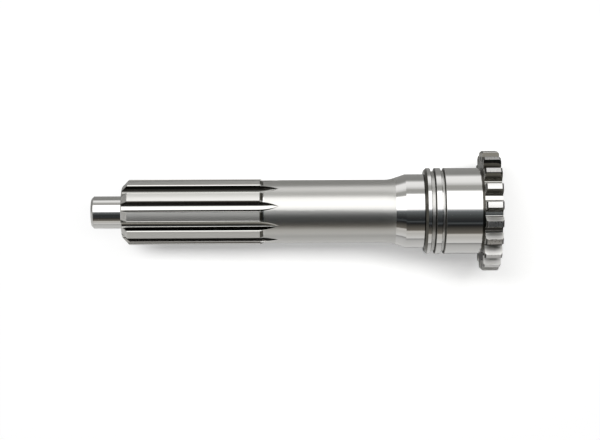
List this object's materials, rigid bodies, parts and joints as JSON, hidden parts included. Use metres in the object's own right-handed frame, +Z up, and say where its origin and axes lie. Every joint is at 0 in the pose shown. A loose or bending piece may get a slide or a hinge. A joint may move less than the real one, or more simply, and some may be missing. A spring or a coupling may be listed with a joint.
{
  "type": "splined shaft",
  "caption": "One-piece gearbox input shaft with a pilot journal, a straight-sided clutch spline, a grooved bearing journal and a ring of coupling teeth.",
  "frame": {"origin": "centre of the bottom of the bounding box, on the ground that the shaft lies on", "axes": "+X along the shaft from the pilot end to the coupling teeth, seen from above; +Z up. The shaft lies as it comes to rest, on two coupling teeth and one spline key, so its own axis climbs by 4.36 degrees towards +X"},
  "size_m": [0.3186, 0.0926, 0.0931],
  "materials": {
    "steel": "turned and ground bright steel, satin on the shank and polished on the journals"
  },
  "bodies": {
    "root": {"input_shaft": "steel"}
  },
  "joints": []
}
